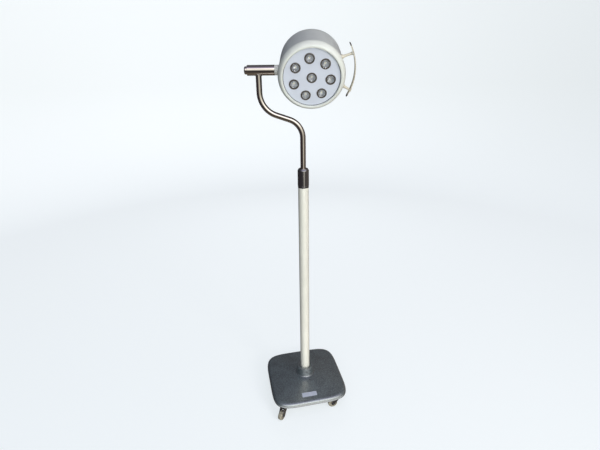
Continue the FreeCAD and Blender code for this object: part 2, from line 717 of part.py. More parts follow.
def rear_cover():
    outer = turned([(0, DRUM_BACK), (124.5, DRUM_BACK), (130.5, DRUM_BACK + 1.5), (133.2, DRUM_BACK + 5),
                    (134.3, SEAM_BACK - 0.4), (0, SEAM_BACK - 0.4)])
    inner = turned([(0, DRUM_BACK + 2.5), (124, DRUM_BACK + 2.5), (129.5, DRUM_BACK + 5), (131.6, SEAM_BACK + 1),
                    (0, SEAM_BACK + 1)])
    posts = join(cyl(6.0, DRUM_BACK + 1, -146.4, x, y) for x, y in rear_posts())
    body = outer.cut(inner).fuse(posts.common(cyl(131.4, DRUM_BACK, -140)))
    cuts = [cyl(2.2, DRUM_BACK - 1, -140, x, y) for x, y in rear_posts()]
    cuts += [cyl(4.0, DRUM_BACK - 1, DRUM_BACK + 4, x, y) for x, y in rear_posts()]
    return body.cut(join(cuts))


def rear_screws():
    screws = []
    for x, y in rear_posts():
        head = cyl(3.8, DRUM_BACK + 1.4, DRUM_BACK + 4, x, y)
        recess = block((x - 2.2, x + 2.2), (y - 0.5, y + 0.5), (DRUM_BACK, DRUM_BACK + 2.6))
        cross = recess.fuse(block((x - 0.5, x + 0.5), (y - 2.2, y + 2.2), (DRUM_BACK, DRUM_BACK + 2.6)))
        screws.append(head.fuse(cyl(2.0, DRUM_BACK + 4, -128, x, y)).cut(cross))
    return join(screws)


def head_boss():
    stub = pivot_rod(BOSS_R, SLEEVE_X[1] + 0.3 - HEAD_X, -125)
    hub = stub.cut(drum_outer(SEAM_BACK - 10, SEAM_FRONT))
    return hub.cut(pivot_rod(SHAFT_R + 0.02, -160, -100))


def shaft_saddle():
    """Curved block that spreads the pivot's load on the inside of the drum wall."""
    body = block((-134, -121), (-26, 26), (-PIVOT_BACK - 26, -PIVOT_BACK + 26))
    inside = turned([(0, SEAM_BACK), (131.9, SEAM_BACK - 1), (135.3, SEAM_FRONT + 1), (0, SEAM_FRONT + 1)])
    return body.common(inside).cut(pivot_rod(SHAFT_R + 0.02, -150, -100))


def led_driver():
    case = block((-42, 42), (-24, 24), (DRUM_BACK + 2.6, DRUM_BACK + 26))
    return case.makeFillet(2.0, upright_edges(case))


def handle_circle():
    a, b, c = (V(u, v, 0) for u, v in HANDLE_ARC)
    arc = Part.Arc(a, b, c)
    curve = arc.toShape().Curve
    return curve.Center, curve.Radius


def handle_grip():
    """Curved strip, rounded on its long edges."""
    centre, radius = handle_circle()
    inner, outer = radius - HANDLE_THICK / 2, radius + HANDLE_THICK / 2
    half = HANDLE_WIDTH / 2
    start = math.atan2(HANDLE_ARC[2][1] - centre.y, HANDLE_ARC[2][0] - centre.x)
    end = math.atan2(HANDLE_ARC[0][1] - centre.y, HANDLE_ARC[0][0] - centre.x)
    profile = [V(inner, 0, -half), V(outer, 0, -half), V(outer, 0, half), V(inner, 0, half), V(inner, 0, -half)]
    strip = Part.Face(Part.makePolygon(profile)).revolve(V(0, 0, 0), Z_AXIS, math.degrees(end - start))
    strip = spun(strip, math.degrees(start))
    strip = strip.makeFillet(2.2, [e for e in strip.Edges if e.Length > 100])
    strip.translate(V(centre.x, centre.y, HANDLE_Z))
    return strip


def handle_struts():
    """Two short posts between the drum wall and the grip."""
    centre, radius = handle_circle()
    keep_in = cyl(radius - HANDLE_THICK / 2, HANDLE_Z - 30, HANDLE_Z + 30, centre.x, centre.y)
    posts = []
    for foot, tip in STRUTS:
        a = V(foot[0], foot[1], HANDLE_Z)
        direction = (V(tip[0], tip[1], HANDLE_Z) - a).normalize()
        post = Part.makeCone(8.0, 4.2, 70, a - direction * 14, direction)
        post = post.common(keep_in).cut(drum_outer(SEAM_BACK, SEAM_FRONT))
        angle = math.atan2(foot[1], foot[0])
        hole = Part.makeCylinder(2.55, 40, V(110 * math.cos(angle), 110 * math.sin(angle), HANDLE_Z),
                                 V(math.cos(angle), math.sin(angle), 0))
        posts.append(post.cut(hole))
    return join(posts)


def handle_screws():
    screws = []
    for foot, _ in STRUTS:
        angle = math.atan2(foot[1], foot[0])
        out = V(math.cos(angle), math.sin(angle), 0)
        seat = 134.0
        head = Part.makeCylinder(4.5, 3.5, out * (seat - 3.5) + V(0, 0, HANDLE_Z), out)
        shank = Part.makeCylinder(2.5, 14, out * seat + V(0, 0, HANDLE_Z), out)
        screws.append(head.fuse(shank))
    return join(screws)


# --- Assembly ------------------------------------------------------------------------------------------
def build():
    cover = base_cover()
    parts = {
        "base_cover": cover,
        "base_plate": base_plate(),
        "cover_screws": join(pan_up(x, y, 1.85, 92, 4.0) for x, y in COVER_POSTS),
        "ballast": ballast(),
        "base_bolts": base_bolts(),
        "mast_socket": mast_socket(),
        "set_screws": set_screws(),
        "boss_skirt": boss_skirt(),
        "rating_label": rating_label(cover),
        "power_inlet": power_inlet(),
        "entry_case": entry_case(),
        "inlet_pins": inlet_pins(),
        "switch_rocker": switch_rocker(),
        "power_supply": power_supply(),
        "small_screws": small_screws(),
        "caster_stems": join(caster_stem(x, y) for x, y, _ in CASTERS.values()),
        "stem_nuts": join(stem_nut(x, y) for x, y, _ in CASTERS.values()),
        "mast_tube": mast_tube(),
        "mast_bush": mast_bush(),
        "clamp_ring": clamp_ring(),
        "lock_collar": lock_collar(),
        "guide_piston": guide_piston(),
        "piston_bolt": piston_bolt(),
        "tube_plug": tube_plug(),
        "arm_tube": arm_tube(),
        "pivot_sleeve": pivot_sleeve(),
        "pivot_cap": pivot_cap(),
        "pivot_bushes": pivot_bushes(),
        "pivot_shaft": pivot_shaft(),
        "disc_springs": disc_springs(),
        "pivot_nuts": pivot_nuts(),
    }
    for key in CASTERS:
        parts["caster_fork_" + key] = caster_fork(key)
        parts["wheel_core_" + key] = wheel_core(key)
        parts["wheel_tread_" + key] = wheel_tread(key)
    drum = {
        "head_boss": head_boss,
        "shaft_saddle": shaft_saddle,
        "head_housing": head_housing,
        "rear_cover": rear_cover,
        "rear_screws": rear_screws,
        "bezel_ring": bezel_ring,
        "front_plate": front_plate,
        "lens_rings": lens_rings,
        "lenses": lenses,
        "led_boards": led_boards,
        "led_chips": led_chips,
        "heatsink": heatsink,
        "sink_screws": sink_screws,
        "led_driver": led_driver,
        "handle_grip": handle_grip,
        "handle_struts": handle_struts,
        "handle_screws": handle_screws,
    }
    for name, make in drum.items():
        parts[name] = to_head(make())
    return parts


def write(parts):
    os.makedirs("parts", exist_ok=True)
    for name, shape in parts.items():
        shape.exportStep("parts/" + name + ".step")


write(build())
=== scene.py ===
"""Looks of the mobile surgical light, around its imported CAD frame.

Blender works in metres, +Z up, with the floor at zero.  Profiles and part sizes here are in millimetres, in
the frame of the part they belong to, and are scaled by MM when their mesh is made.
"""
import json
import math

import bmesh
import bpy
from mathutils import Matrix, Vector


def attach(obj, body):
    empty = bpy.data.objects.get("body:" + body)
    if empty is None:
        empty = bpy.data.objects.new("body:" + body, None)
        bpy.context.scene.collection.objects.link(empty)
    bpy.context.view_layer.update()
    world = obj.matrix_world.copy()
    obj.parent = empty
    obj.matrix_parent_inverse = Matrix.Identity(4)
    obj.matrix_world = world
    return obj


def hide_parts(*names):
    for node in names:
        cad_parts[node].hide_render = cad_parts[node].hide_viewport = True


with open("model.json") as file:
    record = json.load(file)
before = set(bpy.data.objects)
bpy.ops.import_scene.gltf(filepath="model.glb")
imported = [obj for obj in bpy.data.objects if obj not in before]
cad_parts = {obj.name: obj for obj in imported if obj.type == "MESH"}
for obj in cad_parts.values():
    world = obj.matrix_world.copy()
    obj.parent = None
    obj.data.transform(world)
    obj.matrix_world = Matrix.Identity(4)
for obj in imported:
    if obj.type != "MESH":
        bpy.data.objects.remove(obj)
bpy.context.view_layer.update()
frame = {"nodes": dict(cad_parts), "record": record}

MM = 0.001
JOINTS = {joint["name"]: joint for joint in frame["record"]["behaviour"]["joints"]}

# --- Camera and studio --------------------------------------------------------------------------------
CAMERA_PLACE = (-0.3674, -1.6971, 1.7261)
CAMERA_TURN = -11.612
CAMERA_TILT = 67.96
CAMERA_ROLL = -0.764
LENS_MM = 23.05
FLOOR_RADIUS = 4.0
FLOOR_BEND = 1.5
FLOOR_GLOW = 0.76
WALL_TOP = 6.0
WINDOW_AZIMUTH = -84.0

# --- Places of the moving parts -------------------------------------------------------------------------
ARM_YAW = -12.2
HEAD_X = 37.8
HEAD_TILT = 21.06
PIVOT_BACK = 86.9
PIVOT = Matrix.Translation(JOINTS["head_tilt"]["pos_m"]) @ Matrix.Rotation(math.radians(ARM_YAW), 4, "Z")
PIVOT_AXIS = PIVOT @ Matrix.Rotation(math.radians(90), 4, "Y")
DRUM = (PIVOT @ Matrix.Translation((HEAD_X * MM, 0, 0))
        @ Matrix.Rotation(math.radians(90 + HEAD_TILT), 4, "X")
        @ Matrix.Translation((0, 0, PIVOT_BACK * MM)))
UPRIGHT = Matrix.Identity(4)

# --- Base ---------------------------------------------------------------------------------------------
BASE_HALF = 205.4
RIM_SQUARENESS = 5.2
RIM_LOW = 71.0
RIM_TOP = 96.0
RIM_ROUND = 20.0
RIM_ARC = 88
DOME_TOP = 116.0
DOME_HOLE_R = 48.0
DOME_RUN = BASE_HALF - RIM_ROUND - DOME_HOLE_R
DOME_RISE = 1.08
DOME_SOFTENING = 3.2
COVER_WALL = 2.5
COVER_LIP = 1.2
SOCKET_R = 46.0
SOCKET_FOOT = 84.0
SOCKET_TOP = 166.2
MAST_R = 25.0
FILLET_R = 54.0
FILLET_RUN = 7.6
FILLET_RISE = 9.0
FILLET_EDGE = 0.9
PLUG_R = 3.4
PLUG_PLACE = (12.0, -70.0)

# --- Arm, drum and handle -------------------------------------------------------------------------------
TUBE_R = 12.5
ARM_OFFSET = 184.5
COLLAR_R = 26.3
COLLAR_BORE = 20.3
COLLAR_STEP = 1266.0
COLLAR_Z = (1216.4, 1304.0)
SLEEVE_R = 21.0
SLEEVE_BORE = 17.0
SLEEVE_X = (-231.5, -116.1)
CAP_X = -244.5
CAP_R = 16.0
CAP_ROUND = 5.0
BEAD_R = 1.5
BEAD_RIPPLE = 0.22
BEAD_RIPPLES = 40
DRUM_FRONT_R = 137.9
DRUM_BACK_R = 133.6
DRUM_WALL = 2.4
RIM_FRONT = 8.0
RIM_OPENING = 117.5
SEAM_FRONT = -21.0
SEAM_BACK = -150.0
DRUM_BACK = -180.0
LAMP_RING_R = 76.8
LAMP_FIRST = 96.87
LAMP_COUNT = 7
LENS_R = 15.4
LENS_EDGE = -1.0
LENS_DOME = 2.0
HANDLE_Z = -34.0
HANDLE_WIDTH = 24.0
HANDLE_THICK = 6.0
HANDLE_CENTRE = (-37.4, 15.2)
HANDLE_R = 213.7
HANDLE_ANGLES = (-30.73, 30.73)
GRIP_END = 0.62
GRIP_GROWTH = 2.2
TIP_END = 0.12
TIP_GROWTH = 45.0
# Length share and extra thickness of the dark grip ends, which are painted shade on the strip's unlit tips
SHADED_TIP_SHARE = 0.055
SHADED_TIP_EXTRA = 0.25
STRUTS = (((121.9, 69.9), (159.7, 82.4)), ((132.3, -49.4), (163.2, -67.0)))

# --- Wheels ---------------------------------------------------------------------------------------------
WHEEL_R = 25.0
WHEEL_HALF = 10.0
GROOVE_R = 24.2
TREAD_BORE = 19.0
WEB_HALF = WHEEL_HALF - 3.2
HUB_HALF = WHEEL_HALF + 0.8
HUB_BORE = 3.1


def linear(red, green, blue):
    """Linear color from display values of 0 to 255."""
    def one(value):
        value = value / 255
        return value / 12.92 if value <= 0.04045 else ((value + 0.055) / 1.055) ** 2.4
    return one(red), one(green), one(blue)


# --- Materials -----------------------------------------------------------------------------------------
class Finish:
    """A Principled material whose detail comes from textures in the object's own space."""

    def __init__(self, name, color, rough, metal=0.0, **sockets):
        self.material = bpy.data.materials.new(name)
        self.material.use_nodes = True
        self.nodes = self.material.node_tree.nodes
        self.links = self.material.node_tree.links
        self.shader = self.nodes["Principled BSDF"]
        self.shader.inputs["Base Color"].default_value = (*color, 1)
        self.shader.inputs["Roughness"].default_value = rough
        self.shader.inputs["Metallic"].default_value = metal
        for socket, value in sockets.items():
            self.shader.inputs[socket.replace("_", " ")].default_value = value
        self.place = self.nodes.new("ShaderNodeTexCoord").outputs["Object"]
        self.normal = None

    def stretched(self, upright):
        """The texture space with its heights multiplied; under 1 draws the texture out into upright lines."""
        mapping = self.nodes.new("ShaderNodeMapping")
        mapping.inputs["Scale"].default_value = (1, 1, upright)
        self.links.new(self.place, mapping.inputs["Vector"])
        return mapping.outputs["Vector"]

    def noise(self, scale, detail, rough=0.5, upright=None):
        node = self.nodes.new("ShaderNodeTexNoise")
        node.inputs["Scale"].default_value = scale
        node.inputs["Detail"].default_value = detail
        node.inputs["Roughness"].default_value = rough
        self.links.new(self.stretched(upright) if upright else self.place, node.inputs["Vector"])
        return node.outputs["Fac"]

    def cells(self, scale, smooth):
        node = self.nodes.new("ShaderNodeTexVoronoi")
        node.feature = "SMOOTH_F1"
        node.inputs["Scale"].default_value = scale
        node.inputs["Smoothness"].default_value = smooth
        self.links.new(self.place, node.inputs["Vector"])
        return node.outputs["Distance"]

    def blended(self, first, second, share):
        node = self.nodes.new("ShaderNodeMix")
        node.inputs["Factor"].default_value = share
        self.links.new(first, node.inputs["A"])
        self.links.new(second, node.inputs["B"])
        return node.outputs["Result"]

    def tint(self, value, dark, light, start=0.3, end=0.7):
        """Base color from dark to light over part of a texture's values."""
        node = self.nodes.new("ShaderNodeValToRGB")
        node.color_ramp.elements[0].position = start
        node.color_ramp.elements[0].color = (*dark, 1)
        node.color_ramp.elements[1].position = end
        node.color_ramp.elements[1].color = (*light, 1)
        self.links.new(value, node.inputs["Fac"])
        self.links.new(node.outputs["Color"], self.shader.inputs["Base Color"])

    def gloss(self, value, low, high):
        """Roughness from low to high over the middle part of a texture's values."""
        node = self.nodes.new("ShaderNodeMapRange")
        for socket, number in (("From Min", 0.3), ("From Max", 0.7), ("To Min", low), ("To Max", high)):
            node.inputs[socket].default_value = number
        self.links.new(value, node.inputs["Value"])
        self.links.new(node.outputs["Result"], self.shader.inputs["Roughness"])

    def bump(self, value, height, strength=1.0):
        """Relief from a texture, its height in metres, on top of any relief that is there already."""
        node = self.nodes.new("ShaderNodeBump")
        node.inputs["Strength"].default_value = strength
        node.inputs["Distance"].default_value = height
        self.links.new(value, node.inputs["Height"])
        if self.normal:
            self.links.new(self.normal, node.inputs["Normal"])
        self.normal = node.outputs["Normal"]
        self.links.new(self.normal, self.shader.inputs["Normal"])


def shades(color, low, high):
    """A darker and a lighter version of the color."""
    return tuple(c * low for c in color), tuple(c * high for c in color)


def painted(name, color, rough, grain=900.0, coat=0.0):
    """Sprayed paint: orange peel, slight clouding and patchy gloss."""
    finish = Finish(name, color, rough, Coat_Weight=coat, Coat_Roughness=0.12)
    finish.tint(finish.noise(9.0, 4), *shades(color, 0.94, 1.05))
    finish.gloss(finish.noise(35.0, 5), rough - 0.06, rough + 0.08)
    finish.bump(finish.noise(grain, 2), 0.00012)
    return finish.material


def hammertone(name, color):
    """Hammer-finish enamel: shallow round dimples and large soft clouds under a thick gloss."""
    finish = Finish(name, color, 0.4, 0.3, Coat_Weight=1.0, Coat_Roughness=0.24, Coat_IOR=2.4)
    dimples = finish.cells(190.0, 0.8)
    clouds = finish.noise(16.0, 5, 0.6)
    finish.tint(finish.blended(dimples, clouds, 0.45), *shades(color, 0.55, 1.5), 0.2, 0.62)
    finish.gloss(finish.noise(60.0, 4), 0.32, 0.5)
    finish.bump(dimples, 0.0006, 0.7)
    finish.bump(finish.noise(1500.0, 2), 0.00008)
    return finish.material


def polished(name, color, rough):
    """Polished metal with fine upright lines."""
    finish = Finish(name, color, rough, 1.0)
    lines = finish.noise(900.0, 4, 0.6, upright=0.04)
    finish.tint(finish.noise(14.0, 4), *shades(color, 0.9, 1.05))
    finish.gloss(lines, rough - 0.03, rough + 0.05)
    finish.bump(lines, 0.00002, 0.4)
    return finish.material


def zinc(name, color, rough=0.35):
    """Plated steel: small crystals and dull patches."""
    finish = Finish(name, color, rough, 1.0)
    finish.tint(finish.cells(260.0, 0.3), *shades(color, 0.8, 1.15), start=0.1)
    finish.gloss(finish.noise(120.0, 4), rough - 0.08, rough + 0.12)
    finish.bump(finish.noise(700.0, 3), 0.00006)
    return finish.material


def moulded(name, color, rough):
    """Moulded plastic with a fine grain."""
    finish = Finish(name, color, rough)
    finish.tint(finish.noise(25.0, 4), *shades(color, 0.92, 1.06))
    finish.gloss(finish.noise(180.0, 3), rough - 0.05, rough + 0.08)
    finish.bump(finish.noise(1400.0, 2), 0.00008)
    return finish.material


def glossy_black(name, color):
    """Thick shiny enamel over a slightly uneven turned surface."""
    finish = Finish(name, color, 0.3, Coat_Weight=1.0, Coat_Roughness=0.08, Coat_IOR=2.8)
    finish.tint(finish.noise(60.0, 4), *shades(color, 0.8, 1.25))
    finish.gloss(finish.noise(300.0, 3), 0.25, 0.4)
    finish.bump(finish.noise(1800.0, 2, upright=0.2), 0.00002, 0.5)
    return finish.material


def cast(name, color):
    """Sand-cast iron."""
    finish = Finish(name, color, 0.75, 0.6)
    finish.tint(finish.noise(80.0, 6), *shades(color, 0.6, 1.4))
    finish.bump(finish.noise(450.0, 5, 0.7), 0.0006)
    return finish.material


def rubber(name, color):
    """Grey tread rubber with dusty patches."""
    finish = Finish(name, color, 0.72, Sheen_Weight=0.15)
    finish.tint(finish.noise(140.0, 5), *shades(color, 0.75, 1.25))
    finish.gloss(finish.noise(90.0, 4), 0.6, 0.85)
    finish.bump(finish.noise(1600.0, 3), 0.00015)
    return finish.material


def clear(name, color):
    """Clear lens plastic with a slightly frosted skin."""
    finish = Finish(name, color, 0.04, Transmission_Weight=1.0, IOR=1.49)
    finish.gloss(finish.noise(500.0, 3), 0.02, 0.08)
    finish.bump(finish.cells(700.0, 0.5), 0.00006, 0.3)
    return finish.material


def phosphor(name, color):
    """Yellow phosphor of an LED that is off."""
    finish = Finish(name, color, 0.3, Coat_Weight=0.6)
    finish.tint(finish.noise(2500.0, 3), *shades(color, 0.8, 1.1))
    finish.bump(finish.noise(3000.0, 2), 0.00004)
    return finish.material


def make_materials():
    """One material per slot of the record."""
    return {
        "cover_paint": hammertone("cover_hammertone", linear(92, 104, 107)),
        "socket_paint": hammertone("socket_hammertone", linear(92, 102, 105)),
        "skirt_paint": hammertone("skirt_hammertone", linear(91, 101, 104)),
        "plate_zinc": zinc("zinc_sheet", (0.45, 0.46, 0.47)),
        "cast_iron": cast("cast_iron", (0.10, 0.10, 0.105)),
        "bolt_steel": zinc("zinc_bolts", (0.55, 0.55, 0.55), 0.3),
        "black_screw": moulded("black_oxide", (0.03, 0.03, 0.035), 0.35),
        "label_foil": moulded("label_foil", linear(186, 194, 208), 0.4),
        "black_plastic": moulded("black_plastic", (0.02, 0.02, 0.022), 0.45),
        "rocker_plastic": moulded("rocker_plastic", (0.015, 0.015, 0.017), 0.25),
        "pin_brass": polished("pin_brass", (0.78, 0.62, 0.36), 0.2),
        "supply_case": moulded("supply_case", (0.75, 0.75, 0.73), 0.45),
        "stem_steel": zinc("stem_steel", (0.62, 0.62, 0.62), 0.22),
        "mast_paint": painted("mast_ivory", linear(216, 217, 206), 0.36, coat=0.3),
        "bush_plastic": moulded("bush_plastic", (0.02, 0.02, 0.022), 0.4),
        "clamp_brass": polished("clamp_brass", (0.72, 0.55, 0.3), 0.28),
        "collar_paint": glossy_black("collar_black", (0.018, 0.016, 0.018)),
        "piston_nylon": moulded("piston_nylon", (0.75, 0.73, 0.66), 0.5),
        "arm_steel": polished("arm_stainless", (0.50, 0.46, 0.42), 0.09),
        "bush_bronze": polished("bush_bronze", (0.62, 0.42, 0.22), 0.4),
        "shaft_steel": polished("shaft_steel", (0.6, 0.6, 0.6), 0.25),
        "spring_steel": polished("spring_steel", (0.3, 0.3, 0.33), 0.35),
        "fork_steel": zinc("fork_steel", (0.24, 0.25, 0.27), 0.18),
        "wheel_core": moulded("wheel_core", linear(150, 147, 132), 0.45),
        "wheel_rubber": rubber("wheel_rubber", linear(140, 137, 122)),
        "drum_paint": painted("drum_grey", linear(197, 203, 201), 0.38),
        "rear_paint": painted("rear_grey", linear(195, 201, 199), 0.38),
        "boss_paint": painted("boss_white", linear(216, 218, 212), 0.35),
        "saddle_alloy": zinc("saddle_alloy", (0.7, 0.7, 0.71), 0.35),
        "bezel_plastic": painted("bezel_cream", linear(216, 221, 215), 0.42),
        "panel_paint": painted("panel_lavender", linear(202, 210, 222), 0.5, grain=600.0),
        "ring_plastic": moulded("ring_brown", linear(84, 80, 76), 0.22),
        "lens_clear": clear("lens_clear", (0.97, 0.98, 0.98)),
        "board_white": moulded("board_white", (0.75, 0.75, 0.74), 0.4),
        "chip_phosphor": phosphor("chip_phosphor", (0.85, 0.68, 0.2)),
        "sink_alloy": zinc("sink_alloy", (0.42, 0.42, 0.43), 0.4),
        "driver_case": zinc("driver_case", (0.7, 0.71, 0.72), 0.4),
        "handle_paint": painted("handle_cream", linear(208, 204, 188), 0.38),
    }


def finish_nodes(materials):
    """Gives each CAD node the material of its slot."""
    slots = {part["node"]: part["material_slot"] for part in frame["record"]["subparts"]}
    for name, node in frame["nodes"].items():
        node.data.materials.clear()
        node.data.materials.append(materials[slots[name]])


# --- Mesh helpers ----------------------------------------------------------------------------------------
def around(steps):
    """Evenly spaced angles of a full turn."""
    return [2 * math.pi * k / steps for k in range(steps)]


def arc(steps, end=90):
    """Evenly spaced angles from zero to an end given in degrees."""
    return [math.radians(end * k / steps) for k in range(steps + 1)]


def rows_of_points(builder, rings, place):
    """Rows of mesh points made from rings in millimetres."""
    return [[builder.verts.new(place @ (Vector(point) * MM)) for point in ring] for ring in rings]


def finished(name, builder):
    """The object of a mesh that has all its faces, smooth but for its sharp edges."""
    bmesh.ops.remove_doubles(builder, verts=builder.verts, dist=1e-7)
    bmesh.ops.recalc_face_normals(builder, faces=builder.faces)
    mesh = bpy.data.meshes.new(name)
    builder.to_mesh(mesh)
    builder.free()
    mesh.shade_smooth()
    mesh.set_sharp_from_angle(angle=math.radians(40))
    piece = bpy.data.objects.new(name, mesh)
    bpy.context.collection.objects.link(piece)
    piece.modifiers.new("even_normals", "WEIGHTED_NORMAL").keep_sharp = True
    return piece


def loft(name, rings, place=UPRIGHT, loop=False):
    """Skin over rings of equal point counts; a loop joins its last ring to its first, else its ends close."""
    builder = bmesh.new()
    rows = rows_of_points(builder, rings, place)
    count = len(rows[0])
    for here, there in zip(rows, rows[1:] + (rows[:1] if loop else [])):
        for k in range(count):
            builder.faces.new((here[k], here[(k + 1) % count], there[(k + 1) % count], there[k]))
    if not loop:
        builder.faces.new(reversed(rows[0]))
        builder.faces.new(rows[-1])
    return finished(name, builder)


def rounded(profile, radius, steps=4, closed=True):
    """The profile with each corner swapped for a small arc-like curve."""
    points = [Vector(point) for point in profile]
    out = []
    for k, corner in enumerate(points):
        if not closed and k in (0, len(points) - 1):
            out.append(corner)
            continue
        before, after = points[k - 1], points[(k + 1) % len(points)]
        reach = min(radius, (before - corner).length * 0.45, (after - corner).length * 0.45)
        start = corner + (before - corner).normalized() * reach
        end = corner + (after - corner).normalized() * reach
        for i in range(steps + 1):
            t = i / steps
            out.append(start * (1 - t) ** 2 + corner * 2 * t * (1 - t) + end * t ** 2)
    return [tuple(point) for point in out]


def turned(name, profile, place=UPRIGHT, steps=96, closed=True):
    """Surface of revolution about its own Z; the last point of a closed profile is joined to its first."""
    builder = bmesh.new()
    rings = [[(r * math.cos(a), r * math.sin(a), z) for r, z in profile] for a in around(steps)]
    rows = rows_of_points(builder, rings, place)
    last = len(profile) if closed else len(profile) - 1
    for here, there in zip(rows, rows[1:] + rows[:1]):
        for i in range(last):
            j = (i + 1) % len(profile)
            builder.faces.new((here[i], there[i], there[j], here[j]))
    return finished(name, builder)


def joined(name, pieces):
    """One object from several: the first one takes the others' faces."""
    builder = bmesh.new()
    for piece in pieces:
        builder.from_mesh(piece.data)
    builder.to_mesh(pieces[0].data)
    builder.free()
    for piece in pieces[1:]:
        bpy.data.objects.remove(piece)
    pieces[0].name = name
    return pieces[0]


def superellipse(half, squareness, height):
    """Ring of a rounded square; more squareness means tighter corners."""
    points = []
    for a in around(144):
        c, s = math.cos(a), math.sin(a)
        reach = half / (abs(c) ** squareness + abs(s) ** squareness) ** (1 / squareness)
        points.append((reach * c, reach * s, height))
    return points


# --- Pieces -------------------------------------------------------------------------------------------
class Builder:
    """Finishes pieces: material, body, the CAD nodes they stand for and the record's slot."""

    def __init__(self, materials):
        self.materials = materials

    def keep(self, piece, body, slot, *nodes):
        piece.data.materials.clear()
        piece.data.materials.append(self.materials[slot])
        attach(piece, body)
        if nodes:
            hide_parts(*nodes)


def dome_level(inset, depth):
    """Size, squareness and height of the cover at a distance in from its rounded rim."""
    share = depth / DOME_RUN
    height = RIM_TOP + (DOME_TOP - RIM_TOP) * min(1.0, share * DOME_RISE)
    squareness = RIM_SQUARENESS - DOME_SOFTENING * share
    return BASE_HALF - RIM_ROUND - depth, squareness, height - inset


def cover_levels(inset):
    """Levels of the cover from its rim to its central hole."""
    half = BASE_HALF - inset
    bend = RIM_ROUND - inset
    levels = [(half, RIM_SQUARENESS, RIM_LOW + COVER_LIP)]
    for a in arc(12, RIM_ARC):
        height = RIM_TOP - RIM_ROUND + bend * math.sin(a)
        levels.append((half - bend * (1 - math.cos(a)), RIM_SQUARENESS, height))
    levels += [dome_level(inset, DOME_RUN * k / 16) for k in range(1, 17)]
    return levels


def build_base(builder):
    lip = [(half, RIM_SQUARENESS, RIM_LOW) for half in (BASE_HALF - COVER_WALL + 0.6, BASE_HALF - 0.8)]
    levels = lip + cover_levels(0.0) + cover_levels(COVER_WALL)[::-1]
    rings = [superellipse(*level) for level in levels]
    builder.keep(loft("cover_shell", rings, loop=True), "base", "cover_paint", "base_cover")

    socket = rounded([(MAST_R, SOCKET_FOOT), (SOCKET_R, SOCKET_FOOT), (SOCKET_R, SOCKET_TOP),
                      (MAST_R + 7, SOCKET_TOP), (MAST_R + 1, SOCKET_TOP - 7),
                      (MAST_R, SOCKET_TOP - 7)], 3.0, 6)
    builder.keep(turned("socket_body", socket), "base", "socket_paint", "mast_socket")

    low = DOME_TOP - 0.6
    edge = low + FILLET_EDGE
    fillet = [(SOCKET_R, low), (FILLET_R + 1.5, low), (FILLET_R, edge)]
    for a in arc(8):
        fillet.append((FILLET_R - FILLET_RUN * math.sin(a), edge + FILLET_RISE * (1 - math.cos(a))))
    fillet.append((SOCKET_R, low + 10.2))
    builder.keep(turned("socket_fillet", fillet), "base", "skirt_paint", "boss_skirt")

    x, y = PLUG_PLACE
    depth = BASE_HALF - RIM_ROUND - math.hypot(x, y)
    height = dome_level(0.0, depth)[2]
    plug = rounded([(0, height - 2), (PLUG_R, height - 2), (PLUG_R, height + 1.0), (0, height + 1.4)],
                   0.8, closed=False)
    spot = Matrix.Translation((x * MM, y * MM, 0))
    builder.keep(turned("cover_plug", plug, spot, 32, closed=False), "base", "black_plastic")


def build_mast(builder):
    low, top = COLLAR_Z
    foot, groove, mouth = COLLAR_R - 0.4, COLLAR_R - 1.1, TUBE_R + 0.4
    collar = rounded([(COLLAR_BORE, low), (foot, low), (foot, low + 5), (groove, low + 5.6),
                      (groove, low + 6.8), (COLLAR_R, low + 7.4), (COLLAR_R, top - 8),
                      (COLLAR_R - 4.4, top - 1.6), (COLLAR_R - 5, top), (15.5, top), (mouth, top - 1.4),
                      (mouth, top - 12), (16.6, top - 16), (COLLAR_BORE, COLLAR_STEP)], 1.6)
    builder.keep(turned("collar_shell", collar), "collar", "collar_paint", "lock_collar")


def weld_bead():
    """Rippled bead where the arm tube meets the pivot sleeve."""
    rings = []
    for a in around(180):
        x, y = (TUBE_R + 0.5) * math.cos(a), (TUBE_R + 0.5) * math.sin(a)
        centre = Vector((x - ARM_OFFSET, y, -math.sqrt(SLEEVE_R ** 2 - y ** 2) - 0.4))
        out = Vector((math.cos(a), math.sin(a), 0))
        size = BEAD_R + BEAD_RIPPLE * math.sin(BEAD_RIPPLES * a)
        rings.append([centre + size * (out * math.cos(b) + Vector((0, 0, math.sin(b)))) for b in around(10)])
    return loft("weld_bead", rings, PIVOT, loop=True)


def build_arm(builder):
    low, high = SLEEVE_X
    sleeve = rounded([(SLEEVE_BORE, low), (SLEEVE_R, low), (SLEEVE_R, high), (SLEEVE_BORE, high)], 0.9)
    builder.keep(turned("sleeve_tube", sleeve, PIVOT_AXIS, 128), "arm", "arm_steel", "pivot_sleeve")
    cap = [(0, CAP_X), (7.0, CAP_X + 0.3)]
    for a in arc(8):
        cap.append((CAP_R - CAP_ROUND + CAP_ROUND * math.sin(a), CAP_X + 1.0 + CAP_ROUND * (1 - math.cos(a))))
    cap += [(CAP_R, low + 0.4), (SLEEVE_BORE - 0.1, low + 0.8), (SLEEVE_BORE - 0.1, low + 7), (0, low + 7)]
    builder.keep(turned("sleeve_cap", cap, PIVOT_AXIS, closed=False), "arm", "arm_steel", "pivot_cap")
    builder.keep(weld_bead(), "arm", "stem_steel")


def drum_radius(z):
    """Outer radius of the drum, which narrows from its front seam to its back."""
    share = (z - SEAM_FRONT) / (DRUM_BACK - SEAM_FRONT)
    return DRUM_FRONT_R + (DRUM_BACK_R - DRUM_FRONT_R) * share


